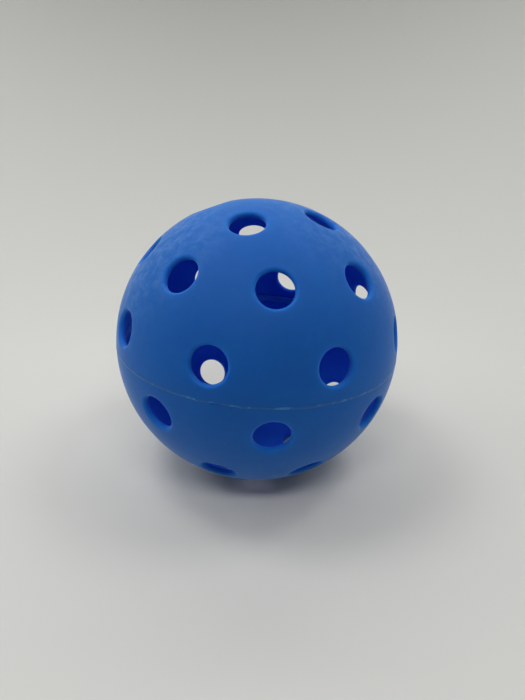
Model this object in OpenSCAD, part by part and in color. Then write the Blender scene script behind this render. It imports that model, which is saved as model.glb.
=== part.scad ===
// Hollow perforated game ball, moulded as two equal half shells that are
// butt-welded at the equator. Real size in mm, +Z along the pole axis, origin
// at the ball's centre.

/* [Ball] */
// outside diameter of the ball
ball_d = 74; // [60:0.5:90]
// thickness of the moulded wall
wall_t = 1.7; // [1.2:0.1:3]

/* [Holes] */
// diameter of the straight part of each hole
hole_d = 8.5; // [5:0.1:11]
// radius that rounds each hole's outer edge
edge_round_out = 0.8; // [0.3:0.1:1.2]
// radius that rounds each hole's inner edge
edge_round_in = 0.8; // [0.2:0.1:1.2]

/* [Hole rings of one half] */
// number of holes in the ring next to the seam
ring_low_n = 8; // [4:1:10]
// latitude of the ring next to the seam, degrees above the equator
ring_low_lat = 12.5; // [10:0.1:20]
// number of holes in the middle ring
ring_mid_n = 8; // [4:1:8]
// latitude of the middle ring, degrees above the equator
ring_mid_lat = 39.7; // [30:0.1:45]
// number of holes in the ring round the pole
ring_top_n = 4; // [3:1:5]
// latitude of the ring round the pole, degrees above the equator
ring_top_lat = 67.3; // [60:0.1:72]
// turn of the middle ring against the low ring, degrees about the pole axis
ring_mid_turn = 22.5; // [0:0.5:45]
// turn of the lower half against the upper half, degrees about the pole axis
half_turn = 23.5; // [0:0.5:45]

/* [Weld] */
// thickness of the melted web between the two rims
weld_t = 0.5; // [0.2:0.1:1]
// how far the weld stands out of the ball's outside
weld_proud_out = 0.12; // [0.05:0.01:0.3]
// width of the weld line seen on the outside
weld_w_out = 1.1; // [0.7:0.1:2]
// how far the bead stands into the hollow
weld_proud_in = 0.6; // [0.2:0.1:1]
// width of each of the two lobes of the inner bead
weld_lobe_w = 1.1; // [0.6:0.1:1.6]

/* [Hidden] */
$fn = 96;

ball_r = ball_d / 2;
inner_r = ball_r - wall_t;
hole_r = hole_d / 2;
// the edge arcs cross the wall's two faces instead of only touching them
cross_by = 0.01;
over = 2;

// each edge's radius, and at most its share of the wall
round_out = min(edge_round_out, 0.48 * wall_t);
round_in = min(edge_round_in, 0.48 * wall_t);

// centre of the outer edge's arc, as radius from the hole's axis and height
arc_out_d = ball_r + cross_by - round_out;
arc_out_x = hole_r + round_out;
arc_out_z = sqrt(arc_out_d * arc_out_d - arc_out_x * arc_out_x);
arc_out_end = arc_out_x * ball_r / arc_out_d;
// centre of the inner edge's arc
arc_in_d = inner_r - cross_by + round_in;
arc_in_x = hole_r + round_in;
arc_in_z = sqrt(arc_in_d * arc_in_d - arc_in_x * arc_in_x);
arc_in_end = arc_in_x * inner_r / arc_in_d;

shell_blue = [0.08, 0.29, 0.56];
weld_blue = [0.20, 0.42, 0.68];

// the wall of one half in section, cut off half a weld above the equator
module wall_section() {
  difference() {
    circle(r = ball_r);
    circle(r = inner_r);
    translate([-ball_d, -ball_d]) square([ball_d, 2 * ball_d]);
    translate([-ball_d, weld_t / 2 - 2 * ball_d]) square([2 * ball_d, 2 * ball_d]);
  }
}

// one hole in section: a straight bore that opens with an arc at both ends
module hole_section() {
  translate([0, inner_r - over]) square([hole_r, wall_t + 2 * over]);
  difference() {
    translate([0, arc_out_z]) square([arc_out_end, ball_r + over - arc_out_z]);
    translate([arc_out_x, arc_out_z]) circle(r = round_out);
  }
  difference() {
    translate([0, inner_r - over]) square([arc_in_end, arc_in_z - inner_r + over]);
    translate([arc_in_x, arc_in_z]) circle(r = round_in);
  }
}

module hole_ring(n, lat, turn) {
  for (i = [0 : n - 1])
    rotate([0, 0, turn + i * 360 / n]) rotate([0, 90 - lat, 0])
      rotate_extrude() hole_section();
}

// one moulding; both halves of the ball are this same shape
module half_shell() {
  difference() {
    rotate_extrude() wall_section();
    hole_ring(ring_low_n, ring_low_lat, 0);
    hole_ring(ring_mid_n, ring_mid_lat, ring_mid_turn);
    hole_ring(ring_top_n, ring_top_lat, 0);
  }
}

module upper_shell() {
  color(shell_blue) half_shell();
}

module lower_shell() {
  color(shell_blue) rotate([0, 0, half_turn]) rotate([180, 0, 0]) half_shell();
}

// radius of the circle whose cap is w wide and h high
function cap_r(w, h) = (w * w / 4 + h * h) / (2 * h);

// the melt squeezed between the rims: a web, a low line outside and a bead of
// two lobes inside, which meet in a groove
module weld_section() {
  out_r = cap_r(weld_w_out, weld_proud_out);
  difference() {
    union() {
      translate([inner_r - weld_proud_in / 2, -weld_t / 2])
        square([wall_t + weld_proud_in / 2 + weld_proud_out / 2, weld_t]);
      intersection() {
        translate([ball_r + weld_proud_out - out_r, 0]) circle(r = out_r);
        translate([ball_r - wall_t / 2, -weld_w_out]) square([wall_t, 2 * weld_w_out]);
      }
      for (s = [-1, 1])
        translate([inner_r - weld_proud_in + weld_lobe_w / 2, s * weld_lobe_w * 0.42])
          circle(d = weld_lobe_w);
    }
    wall_section();
    mirror([0, 1]) wall_section();
  }
}

module weld_seam() {
  color(weld_blue) rotate_extrude() weld_section();
}

upper_shell();
lower_shell();
weld_seam();
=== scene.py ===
"""A perforated plastic ball for lawn and court games, all in metres, round its own centre.

Two half shells of blue polyethylene, moulded with their holes and butt-welded at the equator.
"""
import math

import bpy
from mathutils import Matrix, Vector


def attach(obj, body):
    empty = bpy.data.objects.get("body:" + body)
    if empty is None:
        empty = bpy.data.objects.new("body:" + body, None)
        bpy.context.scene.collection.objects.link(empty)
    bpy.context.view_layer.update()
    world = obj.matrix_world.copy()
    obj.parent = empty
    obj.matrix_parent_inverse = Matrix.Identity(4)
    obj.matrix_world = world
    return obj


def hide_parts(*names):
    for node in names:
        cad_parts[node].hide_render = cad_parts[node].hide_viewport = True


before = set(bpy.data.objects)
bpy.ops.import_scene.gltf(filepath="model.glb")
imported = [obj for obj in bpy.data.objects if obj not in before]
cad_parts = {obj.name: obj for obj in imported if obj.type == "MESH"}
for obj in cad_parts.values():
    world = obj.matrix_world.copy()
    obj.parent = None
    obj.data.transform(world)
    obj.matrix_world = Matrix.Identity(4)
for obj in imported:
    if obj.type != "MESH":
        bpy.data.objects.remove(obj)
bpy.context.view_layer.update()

MM = 0.001

# ---- the ball's sizes, as the solid model has them ----
BALL_R = 37.0 * MM
WALL = 1.7 * MM
HOLE_R = 4.25 * MM
EDGE_OUT = 0.8 * MM          # rounding of a hole's outer edge
EDGE_IN = 0.8 * MM           # and of its inner edge
WELD_T = 0.5 * MM            # the gap that the weld fills
RINGS = {"Low": (8, 12.5), "Middle": (8, 39.7), "Top": (4, 67.3)}   # holes in a half, and latitude
MIDDLE_TURN = 22.5           # degrees, the middle ring against the other two
HALF_TURN = 23.5             # degrees, the lower half against the upper
LINE_PROUD, BEAD_PROUD = 0.12 * MM, 0.6 * MM   # how far the weld stands out of each skin
LINE_W, LOBE_W = 1.1 * MM, 1.1 * MM            # widths of its outer line and of one inner lobe

# ---- its wear, and a painted sheen on the worn sides ----
WORN_AND_SHEEN_SIDES = ((-155, 42), (24, 55))   # longitude and latitude of the two sides that are scuffed and painted paler as a sheen, in degrees
WORN_AND_SHEEN_REACH = 30 * MM                # how far the scuffs and their painted sheen reach round each

# ---- how it stands: leant a little to one side, so floor, light and camera lean instead ----
AIM = math.radians(-74.1)    # the camera's longitude round the ball
RISE = math.radians(23.0)    # and its height over the equator
LEAN = math.radians(3.72)    # the lean, as the camera sees it
REACH = 147.4 * MM           # from the ball's centre to the camera
TOWARDS = Vector((math.cos(RISE) * math.cos(AIM), math.cos(RISE) * math.sin(AIM), math.sin(RISE)))
LEANT = Matrix.Rotation(LEAN, 4, TOWARDS)
RIGHT = Vector((-math.sin(AIM), math.cos(AIM), 0))
AWAY = Vector((-math.cos(AIM), -math.sin(AIM), 0))
UP = Vector((0, 0, 1))

MATH, VECTOR = "ShaderNodeMath", "ShaderNodeVectorMath"
STORE, NAMED = "GeometryNodeStoreNamedAttribute", "GeometryNodeInputNamedAttribute"
MAP, XYZ = "ShaderNodeMapRange", "ShaderNodeCombineXYZ"


def linear(code):
    """An sRGB hex colour such as "1A64C8", as the linear colour that a shader takes."""
    parts = [int(code[i:i + 2], 16) / 255 for i in (0, 2, 4)]
    return tuple(c / 12.92 if c <= 0.04045 else ((c + 0.055) / 1.055) ** 2.4 for c in parts) + (1.0,)


def add(tree, kind, *inputs, into=None, **settings):
    """Adds a node with its settings, and fills its inputs, in order or by name, with values or links."""
    node = tree.nodes.new(kind)
    for name, value in settings.items():
        setattr(node, name, value)
    for key, value in [*enumerate(inputs), *(into or {}).items()]:
        for one in value if isinstance(value, list) else [value]:
            if isinstance(one, bpy.types.Node):
                one = next(s for s in one.outputs if s.enabled)
            if isinstance(one, bpy.types.NodeSocket):
                tree.links.new(one, node.inputs[key])
            elif one is not None:
                node.inputs[key].default_value = one
    return node


# =====================================================================================================
# Geometry: the trees
# =====================================================================================================

def new_tree(name, inputs):
    """An empty geometry tree with one output and named inputs, and the node that gives those inputs."""
    tree = bpy.data.node_groups.new(name, "GeometryNodeTree")
    tree.interface.new_socket("Geometry", in_out="OUTPUT", socket_type="NodeSocketGeometry")
    for label, kind in inputs:
        tree.interface.new_socket(label, in_out="INPUT", socket_type="NodeSocket" + kind)
    return tree, tree.nodes.new("NodeGroupInput").outputs


STAND_IN = 0.01              # size of a curve whose points are all placed later, so that it doesn't count
NEAR_DIRECTION = 0.001       # points of a ball of radius 1 that are this close are one
NEAR = 0.004 * MM            # and so are points of the shell
IN_PLANE = 0.0001            # an outline this near the equator of a ball of radius 1 is on it
CREASE = math.radians(50)    # a fold sharper than this is shaded as an edge

# runs of rings from a cell's outer edge, over the wall and down the hole, to the cell's inner edge
SKIN_OUT, ROUND_OUT, ROUND_IN, SKIN_IN = 6, 13, 14, 20
LAST_RING = 23


def half_shell_tree():
    """A perforated half shell: one cell of wall round each hole, cell edges midway between holes."""
    t, given = new_tree("HalfShell", [
        *((f"{ring} Ring {what}", kind) for ring in RINGS
          for what, kind in (("Holes", "Int"), ("Latitude", "Float"))),
        ("Middle Ring Turn", "Float"), ("Ball Radius", "Float"), ("Wall", "Float"), ("Hole Radius", "Float"),
        ("Outer Edge Radius", "Float"), ("Inner Edge Radius", "Float"), ("Rim Height", "Float"),
        ("Cuts Per Side", "Int"), ("Half Turn", "Rotation"), ("Material", "Material")])
    index = add(t, "GeometryNodeInputIndex")
    position = add(t, "GeometryNodeInputPosition")

    # one point for each hole of both halves, on a ball of radius 1
    rings = []
    for ring in RINGS:
        count, latitude = given[ring + " Ring Holes"], given[ring + " Ring Latitude"]
        step = add(t, MATH, math.tau, count, operation="DIVIDE")
        turn = given["Middle Ring Turn"] if ring == "Middle" else 0.0
        longitude = add(t, MATH, index, step, turn, operation="MULTIPLY_ADD")
        flat = add(t, MATH, latitude, operation="COSINE")
        x, y = (add(t, MATH, flat, add(t, MATH, longitude, operation=op), operation="MULTIPLY")
                for op in ("COSINE", "SINE"))
        place = add(t, XYZ, x, y, add(t, MATH, latitude, operation="SINE"))
        points = add(t, "GeometryNodePoints", count, place)
        rings.append(add(t, "GeometryNodePointsToVertices", points))
    half = add(t, "GeometryNodeJoinGeometry", rings)
    other = add(t, "GeometryNodeTransform", half, into={"Scale": (1, 1, -1)})
    both = add(t, "GeometryNodeJoinGeometry", [half, other])

    # the hull's dual has one cell round each hole; its corners go out to the ball, and half is kept
    geo = add(t, "GeometryNodeConvexHull", both)
    geo = add(t, STORE, geo, None, "axis", position, data_type="FLOAT_VECTOR", domain="POINT")
    geo = add(t, STORE, geo, None, "corner", add(t, "GeometryNodeInputNormal").outputs[0],
              data_type="FLOAT_VECTOR", domain="FACE")
    geo = add(t, "GeometryNodeDualMesh", geo)
    corner = add(t, VECTOR, add(t, NAMED, "corner", data_type="FLOAT_VECTOR"), operation="NORMALIZE")
    geo = add(t, "GeometryNodeSetPosition", geo, None, corner)
    geo = add(t, "GeometryNodeMergeByDistance", geo, into={"Distance": NEAR_DIRECTION})
    axis = add(t, NAMED, "axis", data_type="FLOAT_VECTOR")
    below = add(t, MATH, add(t, "ShaderNodeSeparateXYZ", axis).outputs[2], 0.0, operation="LESS_THAN")
    geo = add(t, "GeometryNodeDeleteGeometry", geo, below, domain="FACE")
    geo = add(t, "GeometryNodeSplitEdges", geo)
    geo = add(t, STORE, geo, None, "axis", axis, data_type="FLOAT_VECTOR", domain="POINT")

    # each cell's outline, cut finely, is swept by a run of rings
    line = add(t, "GeometryNodeMeshToCurve", geo)
    line = add(t, "GeometryNodeSubdivideCurve", line, given["Cuts Per Side"])
    line = add(t, STORE, line, None, "edge", add(t, VECTOR, position, operation="NORMALIZE"),
               data_type="FLOAT_VECTOR", domain="POINT")
    run = add(t, "GeometryNodeCurvePrimitiveLine", into={"End": (STAND_IN, 0, 0)})
    run = add(t, "GeometryNodeResampleCurve", run, mode="COUNT", into={"Count": LAST_RING + 1})
    run = add(t, STORE, run, None, "ring", index, data_type="FLOAT", domain="POINT")
    geo = add(t, "GeometryNodeCurveToMesh", line, run)

    # where a ring's point lies: on a skin, or on the rounding of an edge
    ring = add(t, NAMED, "ring", data_type="FLOAT")
    edge = add(t, NAMED, "edge", data_type="FLOAT_VECTOR")
    cosine = add(t, VECTOR, axis, edge, operation="DOT_PRODUCT")
    cell = add(t, MATH, cosine, operation="ARCCOSINE")
    away = add(t, VECTOR, axis, operation="SCALE", into={"Scale": cosine})
    away = add(t, VECTOR, edge, away, operation="SUBTRACT")
    away = add(t, VECTOR, away, operation="NORMALIZE")

    # how far a ring is along each run, and for the material how far it is into a hole's outer edge, where the
    # material paints a paler glow, and how far it is inside the ball, where it paints a brighter blue as glow
    along = {run: add(t, MAP, ring, float(first), float(last), start, 1.0 - start)
             for run, first, last, start in (
                 ("outer skin", 0, SKIN_OUT, 1.0), ("outer round", SKIN_OUT, ROUND_OUT, 0.0),
                 ("inner round", ROUND_IN, SKIN_IN, 1.0), ("inner skin", SKIN_IN, LAST_RING, 0.0),
                 ("edge_share", SKIN_OUT - 1, SKIN_OUT + 3, 0.0), ("inside", ROUND_OUT, ROUND_IN + 2, 0.0))}

    def turned(angle):
        """The direction that leans from the hole's axis by an angle, towards the cell's edge."""
        parts = [add(t, VECTOR, way, operation="SCALE", into={"Scale": add(t, MATH, angle, operation=op)})
                 for way, op in ((away, "SINE"), (axis, "COSINE"))]
        return add(t, VECTOR, *parts, operation="ADD")

    def skin(radius, rounding, side, on_skin, on_round):
        """Place and normal on a skin and on the rounding of its edge; side is 1 outside, -1 inside."""
        depth = add(t, MATH, rounding, -side, radius, operation="MULTIPLY_ADD")
        across = add(t, MATH, given["Hole Radius"], rounding, operation="ADD")
        lean = add(t, MATH, add(t, MATH, across, depth, operation="DIVIDE"), operation="ARCSINE")
        angle = add(t, MATH, add(t, MATH, cell, lean, operation="SUBTRACT"), on_skin, lean,
                    operation="MULTIPLY_ADD")
        out = turned(angle)
        start = lean if side > 0 else add(t, MATH, lean, math.pi, operation="SUBTRACT")
        roll = add(t, MATH, -math.pi / 2, start, operation="SUBTRACT")
        curl = turned(add(t, MATH, roll, on_round, start, operation="MULTIPLY_ADD"))
        centre = add(t, VECTOR, turned(lean), operation="SCALE", into={"Scale": depth})
        on_arc = add(t, VECTOR, curl, operation="SCALE", into={"Scale": rounding})
        return (add(t, VECTOR, out, operation="SCALE", into={"Scale": radius}),
                add(t, VECTOR, out, operation="SCALE", into={"Scale": side}),
                add(t, VECTOR, centre, on_arc, operation="ADD"), curl)

    outer_r = given["Ball Radius"]
    inner_r = add(t, MATH, outer_r, given["Wall"], operation="SUBTRACT")
    outside = skin(outer_r, given["Outer Edge Radius"], 1.0, along["outer skin"], along["outer round"])
    inside = skin(inner_r, given["Inner Edge Radius"], -1.0, along["inner skin"], along["inner round"])
    past = {ring_no: add(t, MATH, ring, ring_no + 0.5, operation="GREATER_THAN")
            for ring_no in (SKIN_OUT, ROUND_OUT, SKIN_IN)}
    place, normal = (
        add(t, "GeometryNodeSwitch", past[ROUND_OUT],
            add(t, "GeometryNodeSwitch", past[SKIN_OUT], outside[i], outside[i + 2], input_type="VECTOR"),
            add(t, "GeometryNodeSwitch", past[SKIN_IN], inside[i + 2], inside[i], input_type="VECTOR"),
            input_type="VECTOR") for i in (0, 1))
    geo = add(t, "GeometryNodeSetPosition", geo, None, place)
    geo = add(t, STORE, geo, None, "outward", normal, data_type="FLOAT_VECTOR", domain="POINT")
    # shares for the material: a painted glow at a hole's edge, and a brighter painted blue inside
    for name in ("edge_share", "inside"):
        geo = add(t, STORE, geo, None, name, along[name], data_type="FLOAT", domain="POINT")

    # outlines that lie in the weld's plane stop at the rim
    lift = given["Rim Height"]

    def rim(radius):
        """The point of the rim, on a skin of this radius, that is nearest to where a point lies."""
        reach = add(t, MATH, *(add(t, MATH, v, 2.0, operation="POWER") for v in (radius, lift)),
                    operation="SUBTRACT")
        level = add(t, VECTOR, position, (1, 1, 0), operation="MULTIPLY")
        level = add(t, VECTOR, level, operation="NORMALIZE")
        level = add(t, VECTOR, level, operation="SCALE",
                    into={"Scale": add(t, MATH, reach, operation="SQRT")})
        return add(t, VECTOR, level, add(t, XYZ, 0.0, 0.0, lift), operation="ADD")

    height = add(t, "ShaderNodeSeparateXYZ", edge).outputs[2]
    in_plane = add(t, MATH, add(t, MATH, height, operation="ABSOLUTE"), IN_PLANE, operation="LESS_THAN")
    for name, radius, test, ring_no in (("rim_out", outer_r, "LESS_THAN", 0.5),
                                        ("rim_in", inner_r, "GREATER_THAN", LAST_RING - 0.5)):
        chosen = add(t, MATH, in_plane, add(t, MATH, ring, ring_no, operation=test), operation="MULTIPLY")
        geo = add(t, STORE, geo, None, name, chosen, data_type="FLOAT", domain="POINT")
        geo = add(t, "GeometryNodeSetPosition", geo, chosen, rim(radius))
    facing = add(t, VECTOR, add(t, "GeometryNodeInputNormal").outputs["True Normal"],
                 add(t, NAMED, "outward", data_type="FLOAT_VECTOR"), operation="DOT_PRODUCT")
    geo = add(t, "GeometryNodeFlipFaces", geo, add(t, MATH, facing, 0.0, operation="LESS_THAN"))

    # the flat rim that meets the weld
    on_rim = add(t, "GeometryNodeFieldOnDomain", add(t, NAMED, "rim_out", data_type="FLOAT"),
                 data_type="FLOAT", domain="EDGE")
    on_rim = add(t, MATH, on_rim, 0.9, operation="GREATER_THAN")
    flange = add(t, "GeometryNodeExtrudeMesh", geo, on_rim, mode="EDGES", into={"Offset Scale": 0.0})
    geo = add(t, "GeometryNodeSetPosition", flange, flange.outputs["Top"], rim(inner_r))
    geo = add(t, "GeometryNodeMergeByDistance", geo, into={"Distance": NEAR})
    for name in ("axis", "corner", "edge", "ring", "outward", "rim_out", "rim_in"):
        geo = add(t, "GeometryNodeRemoveAttribute", geo, into={"Name": name})
    fold = add(t, "GeometryNodeInputMeshEdgeAngle").outputs["Unsigned Angle"]
    sharp = add(t, MATH, fold, CREASE, operation="GREATER_THAN")
    geo = add(t, "GeometryNodeSetShadeSmooth", geo, domain="FACE")
    geo = add(t, "GeometryNodeSetShadeSmooth", geo, sharp, False, domain="EDGE")
    geo = add(t, "GeometryNodeTransform", geo, into={"Rotation": given["Half Turn"]})
    geo = add(t, "GeometryNodeRealizeInstances", geo)
    geo = add(t, "GeometryNodeSetMaterial", geo, into={"Material": given["Material"]})
    add(t, "NodeGroupOutput", geo)
    return t


# runs of steps round the weld's section: the outer line, a side of the web, two lobes, the other side
LINE_END, WEB_END, LOBE_END, LOBES_END, SECTION_STEPS = 13, 15, 29, 43, 45
LINE_SUNK = 0.01 * MM        # the line's two edges are this far under the outer skin
WEB_SUNK = 0.3 * MM          # the web's sides start this far under it
WEB_SHORT = 0.1 * MM         # and stop this far before the inner skin
LINE_WANDER = 0.12           # the line wanders to each side by this share of its width
LOBE_SET = 0.42              # a lobe's centre lies this share of its width off the equator
LOBE_FROM, LOBE_TO = math.radians(-20), math.radians(147)   # a lobe's arc, from the web to the other lobe
# a slow change along the seam: its seed, the least and most share it leaves, and its pace
LINE_TALL, LINE_BROAD, LINE_ASIDE = (0.0, 0.12, 0.7, 1.0), (7.0, 0.25, 0.75, 2.0), (3.0, -1.0, 1.0, 1.5)
LOBE_FULL, OTHER_FULL = (12.0, 0.8, 1.0, 1.0), (10.0, 0.8, 1.0, 1.0)
NOISE_LOW, NOISE_HIGH = 0.33, 0.67              # a noise keeps within about these
RISE_SEED = 5.0              # added to the seed for how far a crumb lies from the equator
CRUMB_LEAST, CRUMB_MOST = (0.4, 0.4, 0.2), (1.0, 1.6, 0.45)   # shares of the crumb size: two sides, height


def weld_tree():
    """The weld: its section is swept round the equator, and swells and thins as melt does."""
    t, given = new_tree("WeldSeam", [
        ("Ball Radius", "Float"), ("Wall", "Float"), ("Web Thickness", "Float"), ("Line Height", "Float"),
        ("Line Width", "Float"), ("Bead Height", "Float"), ("Lobe Width", "Float"), ("Swell Length", "Float"),
        ("Cuts Around", "Int"), ("Crumbs", "Int"), ("Crumb Size", "Float"), ("Crumb Spread", "Float"),
        ("Seed", "Int"), ("Material", "Material")])
    index = add(t, "GeometryNodeInputIndex")
    position = add(t, "GeometryNodeInputPosition")
    hoop = add(t, "GeometryNodeCurvePrimitiveCircle", given["Cuts Around"], mode="RADIUS",
               into={"Radius": 1.0})
    hoop = add(t, STORE, hoop, None, "way", position, data_type="FLOAT_VECTOR", domain="POINT")
    section = add(t, "GeometryNodeCurvePrimitiveCircle", SECTION_STEPS, mode="RADIUS",
                  into={"Radius": STAND_IN})
    section = add(t, STORE, section, None, "step", index, data_type="FLOAT", domain="POINT")
    geo = add(t, "GeometryNodeFlipFaces", add(t, "GeometryNodeCurveToMesh", hoop, section))

    step = add(t, NAMED, "step", data_type="FLOAT")
    way = add(t, NAMED, "way", data_type="FLOAT_VECTOR")
    outer_r = given["Ball Radius"]
    inner_r = add(t, MATH, outer_r, given["Wall"], operation="SUBTRACT")

    def swell(seed_add, low, high, stretch):
        """A slow random share between low and high that depends on the place round the seam."""
        spot = add(t, VECTOR, way, operation="SCALE", into={"Scale": outer_r})
        scale = add(t, MATH, stretch, given["Swell Length"], operation="DIVIDE")
        seed = add(t, MATH, given["Seed"], seed_add, operation="ADD")
        noise = add(t, "ShaderNodeTexNoise", noise_dimensions="4D",
                    into={"Vector": spot, "W": seed, "Scale": scale, "Detail": 3.0, "Roughness": 0.6})
        return add(t, MAP, noise.outputs[0], NOISE_LOW, NOISE_HIGH, low, high)

    # the outer line, a low arch across the joint
    across = add(t, MAP, step, 0.0, float(LINE_END - 1), -1.0, 1.0)
    arch = add(t, MATH, across, across, operation="MULTIPLY")
    arch = add(t, MATH, 1.0, arch, operation="SUBTRACT")
    tall = add(t, MATH, given["Line Height"], swell(*LINE_TALL), operation="MULTIPLY")
    line_r = add(t, MATH, tall, arch, operation="MULTIPLY")
    line_r = add(t, MATH, line_r, outer_r, operation="ADD")
    line_r = add(t, MATH, line_r, LINE_SUNK, operation="SUBTRACT")
    half_line = add(t, MATH, given["Line Width"], 0.5, operation="MULTIPLY")
    line_z = add(t, MATH, half_line, across, operation="MULTIPLY")
    line_z = add(t, MATH, line_z, swell(*LINE_BROAD), operation="MULTIPLY")
    aside = add(t, MATH, given["Line Width"], LINE_WANDER, operation="MULTIPLY")
    aside = add(t, MATH, aside, swell(*LINE_ASIDE), operation="MULTIPLY")
    places = [add(t, XYZ, line_r, add(t, MATH, line_z, aside, operation="ADD"), 0.0)]

    # the web's two sides, and the bead's two lobes
    shallow = add(t, MATH, outer_r, WEB_SUNK, operation="SUBTRACT")
    deep = add(t, MATH, inner_r, WEB_SHORT, operation="ADD")
    lobe_r = add(t, MATH, given["Lobe Width"], 0.5, operation="MULTIPLY")
    centre = add(t, MATH, inner_r, given["Bead Height"], operation="SUBTRACT")
    centre = add(t, MATH, centre, lobe_r, operation="ADD")
    for side, web, web_ends, lobe, arc, full in (
            (1.0, LINE_END, (shallow, deep), WEB_END, (LOBE_FROM, LOBE_TO), LOBE_FULL),
            (-1.0, LOBES_END, (deep, shallow), LOBE_END, (LOBE_TO, LOBE_FROM), OTHER_FULL)):
        web_r = add(t, MAP, step, float(web), float(web + 1), *web_ends)
        web_z = add(t, MATH, given["Web Thickness"], 0.5 * side, operation="MULTIPLY")
        angle = add(t, MAP, step, float(lobe), float(lobe + LOBE_END - WEB_END - 1), *arc)
        reach = add(t, MATH, add(t, MATH, angle, operation="SINE"), lobe_r, operation="MULTIPLY")
        reach = add(t, MATH, reach, swell(*full), operation="MULTIPLY")
        lobe_z = add(t, MATH, add(t, MATH, angle, operation="COSINE"), 2 * LOBE_SET, operation="ADD")
        lobe_z = add(t, MATH, lobe_z, lobe_r, operation="MULTIPLY")
        lobe_z = add(t, MATH, lobe_z, side, operation="MULTIPLY")
        places += [add(t, XYZ, web_r, web_z, 0.0),
                   add(t, XYZ, add(t, MATH, centre, reach, operation="SUBTRACT"), lobe_z, 0.0)]
    # in the order round the section: line, web, lobe, lobe, web
    place = places[3]
    for limit, before in ((LOBES_END, places[4]), (LOBE_END, places[2]), (WEB_END, places[1]),
                          (LINE_END, places[0])):
        test = add(t, MATH, step, limit - 0.5, operation="LESS_THAN")
        place = add(t, "GeometryNodeSwitch", test, place, before, input_type="VECTOR")
    parts = add(t, "ShaderNodeSeparateXYZ", place)
    place = add(t, VECTOR, way, operation="SCALE", into={"Scale": parts.outputs[0]})
    place = add(t, VECTOR, place, add(t, XYZ, 0.0, 0.0, parts.outputs[1]), operation="ADD")
    geo = add(t, "GeometryNodeSetPosition", geo, None, place)
    # the inner lobes get the share that the material paints a brighter blue, as a painted glow
    within = add(t, MATH, step, LINE_END - 0.5, operation="GREATER_THAN")
    geo = add(t, STORE, geo, None, "inside", within, data_type="FLOAT", domain="POINT")
    for name in ("way", "step"):
        geo = add(t, "GeometryNodeRemoveAttribute", geo, into={"Name": name})

    # crumbs of flash that stayed stuck beside the line
    turn = add(t, "FunctionNodeRandomValue", data_type="FLOAT",
               into={"Min": 0.0, "Max": math.tau, "ID": index, "Seed": given["Seed"]}).outputs[1]
    high = add(t, MATH, given["Crumb Spread"], outer_r, operation="DIVIDE")
    low = add(t, MATH, high, -1.0, operation="MULTIPLY")
    rise = add(t, "FunctionNodeRandomValue", data_type="FLOAT",
               into={"Min": low, "Max": high, "ID": index,
                     "Seed": add(t, MATH, given["Seed"], RISE_SEED, operation="ADD")}).outputs[1]
    flat = add(t, MATH, rise, operation="COSINE")
    x, y = (add(t, MATH, flat, add(t, MATH, turn, operation=op), operation="MULTIPLY")
            for op in ("COSINE", "SINE"))
    spot = add(t, XYZ, x, y, add(t, MATH, rise, operation="SINE"))
    points = add(t, "GeometryNodePoints", given["Crumbs"],
                 add(t, VECTOR, spot, operation="SCALE", into={"Scale": outer_r}))
    grown = add(t, "FunctionNodeRandomValue", data_type="FLOAT_VECTOR",
                into={"Min": CRUMB_LEAST, "Max": CRUMB_MOST, "ID": index, "Seed": given["Seed"]})
    crumb = add(t, "GeometryNodeMeshIcoSphere", into={"Radius": given["Crumb Size"], "Subdivisions": 2})
    stand = add(t, "FunctionNodeAlignRotationToVector", axis="Z", into={"Vector": position})
    crumbs = add(t, "GeometryNodeInstanceOnPoints", points, into={
        "Instance": crumb, "Rotation": stand, "Scale": grown.outputs[0]})
    geo = add(t, "GeometryNodeJoinGeometry", [geo, crumbs])
    geo = add(t, "GeometryNodeRealizeInstances", geo)
    geo = add(t, "GeometryNodeSetShadeSmooth", geo, domain="FACE")
    geo = add(t, "GeometryNodeSetMaterial", geo, into={"Material": given["Material"]})
    add(t, "NodeGroupOutput", geo)
    return t


def from_tree(name, tree, values):
    """Runs a tree with its inputs set, and keeps the result as a plain mesh piece."""
    holder = bpy.data.objects.new(name + "_maker", bpy.data.meshes.new(name + "_maker"))
    bpy.context.scene.collection.objects.link(holder)
    made_by = holder.modifiers.new(tree.name, "NODES")
    made_by.node_group = tree
    for socket in tree.interface.items_tree:
        if socket.item_type == "SOCKET" and socket.in_out == "INPUT":
            made_by[socket.identifier] = values[socket.name]
    seen = holder.evaluated_get(bpy.context.evaluated_depsgraph_get())
    mesh = bpy.data.meshes.new_from_object(seen)
    holder.modifiers.remove(made_by)
    bpy.data.objects.remove(holder)
    mesh.name = name
    for i in reversed([i for i, material in enumerate(mesh.materials) if material is None]):
        mesh.materials.pop(index=i)
    piece = bpy.data.objects.new(name, mesh)
    bpy.context.scene.collection.objects.link(piece)
    return piece


# =====================================================================================================
# Materials
# =====================================================================================================

def new_material(name):
    material = bpy.data.materials.new(name)
    material.use_nodes = True
    tree = material.node_tree
    tree.nodes.clear()
    return material, tree


SCUFF_FROM, SCUFF_FULL = 0.42, 0.70     # noise at which a scuff begins, and at which it is full
WORN_AND_SHEEN_FULL = 0.15                        # a worn side is fully scuffed, and fully painted with sheen, within this share of its reach
UNWORN = 0.04                           # share of the scuffs and painted sheen that the rest of the ball has
SCUFF_AND_SHEEN_PALE, EDGE_GLOW_PAINT = 0.30, 0.55      # how far a full scuff goes to its pale colour, partly a painted sheen, and a hole's edge to a paler painted glow
SCUFF_GLOSS = 0.22                      # what a full scuff takes off the roughness
ROUGH_FROM, ROUGH_TO = 0.3, 0.7         # the noise that a roughness runs through


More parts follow.
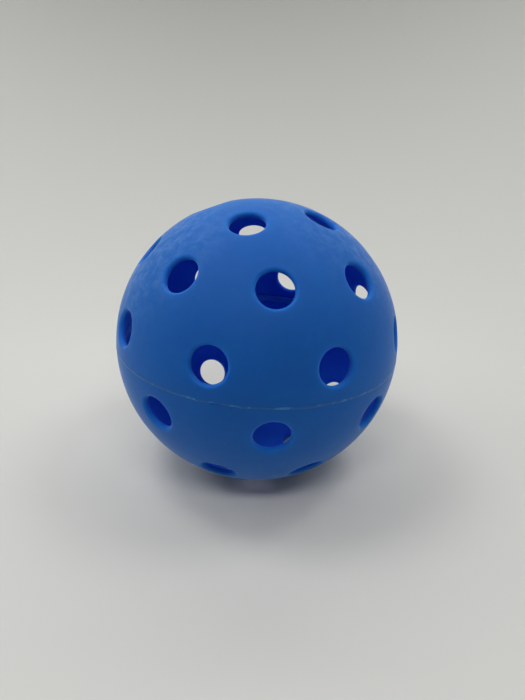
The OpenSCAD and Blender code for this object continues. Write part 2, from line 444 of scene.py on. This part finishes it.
def moulded_polyethylene():
    """Polyethylene, cobalt blue through its thickness, injection moulded in a fine-textured mould.

    It is satin and waxy, and light soaks a little way in. A hole's edge is painted paler as a painted glow,
    and the inside is painted a brighter blue as a painted glow of light through the wall, by two shares that
    the mesh carries.
    """
    material, t = new_material("moulded_polyethylene")
    place = add(t, "ShaderNodeTexCoord").outputs["Object"]
    edge_share = add(t, "ShaderNodeAttribute", attribute_name="edge_share").outputs["Fac"]
    inside = add(t, "ShaderNodeAttribute", attribute_name="inside").outputs["Fac"]
    # flow marks and uneven pigment, patches about 12 mm across
    patches = add(t, "ShaderNodeTexNoise", into={"Vector": place, "Scale": 1 / (12 * MM), "Detail": 3.0})
    # scuffs from play, 2.4 mm across, on two worn sides; their pale colour is partly a painted sheen
    scuff_and_sheen_noise = add(t, "ShaderNodeTexNoise", into={
        "Vector": place, "Scale": 1 / (2.4 * MM), "Detail": 4.0, "Roughness": 0.6, "Distortion": 0.3})
    scuff_and_sheen_mask = add(t, MAP, scuff_and_sheen_noise.outputs["Fac"], SCUFF_FROM, SCUFF_FULL, 0.0, 1.0)
    worn_and_sheen = []
    for spot in WORN_AND_SHEEN_SIDES:
        longitude, latitude = (math.radians(degrees) for degrees in spot)
        level = math.cos(latitude)
        spot = BALL_R * Vector((level * math.cos(longitude), level * math.sin(longitude), math.sin(latitude)))
        off = add(t, VECTOR, place, spot, operation="DISTANCE").outputs["Value"]
        worn_and_sheen.append(add(t, MAP, off, WORN_AND_SHEEN_REACH, WORN_AND_SHEEN_FULL * WORN_AND_SHEEN_REACH, UNWORN, 1.0,
                        interpolation_type="SMOOTHSTEP"))
    scuff_and_sheen_mask = add(t, MATH, scuff_and_sheen_mask, add(t, MATH, *worn_and_sheen, operation="MAXIMUM"), operation="MULTIPLY")
    # the mould's spark-eroded grain, 0.4 mm, drawn at the finest size that shows
    grain = add(t, "ShaderNodeTexNoise", into={"Vector": place, "Scale": 1 / (0.4 * MM), "Detail": 2.0})
    # the plain blue, then what each share turns it towards: uneven pigment, scuffs partly painted sheen, a
    # painted glow at holes' edges, and a brighter painted blue inside
    colour = linear("0358AC")
    for share, tone in ((patches.outputs["Fac"], "0462B8"),
                        # the scuffs' pale tone: real scuff marks, and partly a painted sheen where light
                        # grazes those sides
                        (add(t, MATH, scuff_and_sheen_mask, SCUFF_AND_SHEEN_PALE, operation="MULTIPLY"), "6C9CD4"),
                        # a hole's outer edge is painted paler: a painted glow where light catches the
                        # rounding
                        (add(t, MATH, edge_share, EDGE_GLOW_PAINT, operation="MULTIPLY"), "0872CE"),
                        # the inside is painted a brighter blue: a painted glow of light that soaks through
                        # the wall
                        (inside, "0865E2")):
        colour = add(t, "ShaderNodeMix", data_type="RGBA",
                     into={0: share, "A": colour, "B": linear(tone)}).outputs[2]
    rough = add(t, MAP, grain.outputs["Fac"], ROUGH_FROM, ROUGH_TO, 0.60, 0.72)
    smoother = add(t, MATH, scuff_and_sheen_mask, SCUFF_GLOSS, operation="MULTIPLY")
    rough = add(t, MATH, rough, smoother, operation="SUBTRACT")
    bump = add(t, "ShaderNodeBump", into={
        "Strength": 0.3, "Distance": 0.02 * MM, "Height": grain.outputs["Fac"]})
    bump = add(t, "ShaderNodeBump", into={
        "Strength": 0.5, "Distance": 0.08 * MM, "Height": scuff_and_sheen_mask, "Normal": bump})
    skin = add(t, "ShaderNodeBsdfPrincipled", into={
        "Base Color": colour, "Roughness": rough, "Normal": bump, "IOR": 1.51, "Specular IOR Level": 0.22,
        "Sheen Weight": 0.28, "Sheen Roughness": 0.3, "Sheen Tint": linear("E8F0FF"),
        "Subsurface Weight": 0.8, "Subsurface Radius": (0.1, 0.5, 1.0), "Subsurface Scale": 1.8 * MM})
    add(t, "ShaderNodeOutputMaterial", skin)
    return material


STREAK_FROM, STREAK_FULL = 0.5, 0.68    # noise at which a streak begins, and at which it is full


def remelted_polyethylene():
    """The same plastic, melted by the hot plate and squeezed out, so it is smoother and a shade paler."""
    material, t = new_material("remelted_polyethylene")
    place = add(t, "ShaderNodeTexCoord").outputs["Object"]
    inside = add(t, "ShaderNodeAttribute", attribute_name="inside").outputs["Fac"]
    # streaks where the melt cooled unevenly, about 1.8 mm long
    streaks = add(t, "ShaderNodeTexNoise", into={"Vector": place, "Scale": 1 / (1.8 * MM), "Detail": 4.0})
    streaked = add(t, MAP, streaks.outputs["Fac"], STREAK_FROM, STREAK_FULL, 0.0, 1.0)
    colour = linear("045AB0")
    # the inside is painted a brighter blue too: a painted glow of light through the wall
    for share, tone in ((streaked, "3A84D2"), (inside, "0C6AE2")):
        colour = add(t, "ShaderNodeMix", data_type="RGBA",
                     into={0: share, "A": colour, "B": linear(tone)}).outputs[2]
    rough = add(t, MAP, streaks.outputs["Fac"], ROUGH_FROM, ROUGH_TO, 0.32, 0.5)
    bump = add(t, "ShaderNodeBump", into={
        "Strength": 0.3, "Distance": 0.03 * MM, "Height": streaks.outputs["Fac"]})
    skin = add(t, "ShaderNodeBsdfPrincipled", into={
        "Base Color": colour, "Roughness": rough, "Normal": bump, "IOR": 1.51, "Specular IOR Level": 0.4,
        "Subsurface Weight": 0.6, "Subsurface Radius": (0.1, 0.5, 1.0), "Subsurface Scale": 1.2 * MM})
    add(t, "ShaderNodeOutputMaterial", skin)
    return material


def plain(name, code, roughness):
    """A dull finish of one colour, for what isn't part of the ball."""
    material, t = new_material(name)
    add(t, "ShaderNodeOutputMaterial", add(t, "ShaderNodeBsdfPrincipled", into={
        "Base Color": linear(code), "Roughness": roughness, "Specular IOR Level": 0.2}))
    return material


# =====================================================================================================
# The pieces
# =====================================================================================================

blue = moulded_polyethylene()
shell_tree = half_shell_tree()
shell_sizes = {
    **{f"{ring} Ring Holes": count for ring, (count, _) in RINGS.items()},
    **{f"{ring} Ring Latitude": math.radians(latitude) for ring, (_, latitude) in RINGS.items()},
    "Middle Ring Turn": math.radians(MIDDLE_TURN), "Ball Radius": BALL_R, "Wall": WALL, "Hole Radius": HOLE_R,
    "Outer Edge Radius": EDGE_OUT, "Inner Edge Radius": EDGE_IN, "Rim Height": WELD_T / 2,
    "Cuts Per Side": 27, "Material": blue}
upper = from_tree("upper_half_shell", shell_tree, {**shell_sizes, "Half Turn": (0, 0, 0)})
lower = from_tree("lower_half_shell", shell_tree,
                  {**shell_sizes, "Half Turn": (math.pi, 0, math.radians(HALF_TURN))})
for piece, node in ((upper, "upper_shell"), (lower, "lower_shell")):
    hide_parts(node)
    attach(piece, "root")
weld = from_tree("weld_bead", weld_tree(), {
    "Ball Radius": BALL_R, "Wall": WALL, "Web Thickness": WELD_T, "Line Height": LINE_PROUD,
    "Line Width": LINE_W, "Bead Height": BEAD_PROUD, "Lobe Width": LOBE_W, "Swell Length": 9 * MM,
    "Cuts Around": 720, "Crumbs": 26, "Crumb Size": 0.22 * MM, "Crumb Spread": 2.0 * MM, "Seed": 4,
    "Material": remelted_polyethylene()})
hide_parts("weld_seam")
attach(weld, "root")

# =====================================================================================================
# Floor, backdrop, light and camera
# =====================================================================================================

FLOOR_R, CURVE_R, COVE_H = 0.14, 0.26, 0.7       # the flat, the curve up from it, and the wall's top
COVE_SIDES, FLOOR_ROWS, CURVE_ROWS = 96, 6, 22
CURVE_STEP = math.radians(4)
OPEN = math.radians(62)      # the wall is left out this far to each side of the camera
APRON_R = 0.32               # and the floor goes on to here instead


def cove():
    """A round sheet of white board that curves up into a wall behind and beside the ball."""
    around = [math.tau * i / COVE_SIDES for i in range(COVE_SIDES)]
    profile = [(FLOOR_R * i / FLOOR_ROWS, 0.0) for i in range(1, FLOOR_ROWS + 1)]
    profile += [(FLOOR_R + CURVE_R * math.sin(CURVE_STEP * i), CURVE_R * (1 - math.cos(CURVE_STEP * i)))
                for i in range(1, CURVE_ROWS + 1)]
    profile.append((FLOOR_R + CURVE_R, COVE_H))
    points = [Vector((0, 0, 0))]
    for r, z in [*profile, (APRON_R, 0.0)]:
        points += [Vector((r * math.cos(a), r * math.sin(a), z)) for a in around]
    faces = []
    for i in range(COVE_SIDES):
        j = (i + 1) % COVE_SIDES
        faces.append((0, 1 + i, 1 + j))
        off_camera = abs((math.tau * (i + 0.5) / COVE_SIDES - AIM + math.pi) % math.tau - math.pi)
        walled = off_camera > OPEN
        rows = [(row, row + 1) for row in range(len(profile) - 1 if walled else FLOOR_ROWS - 1)]
        if not walled:
            rows.append((FLOOR_ROWS - 1, len(profile)))
        for row, next_row in rows:
            a, b = 1 + row * COVE_SIDES, 1 + next_row * COVE_SIDES
            faces.append((a + i, b + i, b + j, a + j))
    mesh = bpy.data.meshes.new("cove")
    mesh.from_pydata([LEANT @ (p - BALL_R * UP) for p in points], [], faces)
    mesh.shade_smooth()
    mesh.materials.append(plain("white_matt_board", "D6D6D2", 0.8))
    board = bpy.data.objects.new("cove", mesh)
    bpy.context.scene.collection.objects.link(board)
    return board


def softbox(name, right, away, up, width, depth, watts):
    """A soft white light that faces the ball, placed right of its centre, behind it and above it."""
    data = bpy.data.lights.new(name, "AREA")
    data.shape, data.size, data.size_y, data.energy = "RECTANGLE", width, depth, watts
    lamp = bpy.data.objects.new(name, data)
    bpy.context.scene.collection.objects.link(lamp)
    place = RIGHT * right + AWAY * away + UP * up
    back = place.normalized()
    side = AWAY.cross(back).normalized()
    face = Matrix((side, back.cross(side), back)).transposed().to_4x4()
    lamp.matrix_world = LEANT @ Matrix.Translation(place) @ face
    lamp.visible_camera = False


cove()
# two compact lights, square to the view: side of the ball, elevation in degrees, and watts
KEY_REACH, KEY_SIZE = 0.38, 0.11
for name, side, elevation, watts in (("key_left", -1, 68, 0.33), ("key_right", 1, 62, 0.235)):
    elevation = math.radians(elevation)
    softbox(name, side * math.cos(elevation) * KEY_REACH, 0.0, math.sin(elevation) * KEY_REACH,
            KEY_SIZE, KEY_SIZE, watts)
# and four wide ones: how far right, behind and above, width, depth, and watts
for wide in (("back_high", 0, 0.20, 0.29, 0.44, 0.10, 0.40),
             ("front_high", 0, -0.26, 0.318, 0.28, 0.06, 0.56),
             ("side_left", -0.30, 0, 0.24, 0.16, 0.30, 0.24),
             ("side_right", 0.30, 0, 0.24, 0.16, 0.30, 0.10)):
    softbox(*wide)

world = bpy.data.worlds.new("room")
world.use_nodes = True
t = world.node_tree
t.nodes.clear()
# the room past the board is pale to look at and gives no light
dark = add(t, "ShaderNodeBackground", linear("000000"), 0.0)
pale = add(t, "ShaderNodeBackground", linear("BEBFBB"), 1.0)
seen = add(t, "ShaderNodeLightPath").outputs["Is Camera Ray"]
add(t, "ShaderNodeOutputWorld", add(t, "ShaderNodeMixShader", seen, dark, pale))
bpy.context.scene.world = world
bpy.context.scene.view_settings.view_transform = "Standard"

lens = bpy.data.cameras.new("camera")
lens.sensor_width, lens.lens = 36.0, 27.92          # millimetres
lens.clip_start, lens.clip_end = 5 * MM, 10.0
lens.shift_x, lens.shift_y = 0.0079, -0.0157        # the ball sits a little left of the middle and above it
camera = bpy.data.objects.new("camera", lens)
bpy.context.scene.collection.objects.link(camera)
turned = TOWARDS.to_track_quat("Z", "Y").to_matrix().to_4x4()
camera.matrix_world = LEANT @ Matrix.Translation(TOWARDS * REACH) @ turned
bpy.context.scene.camera = camera
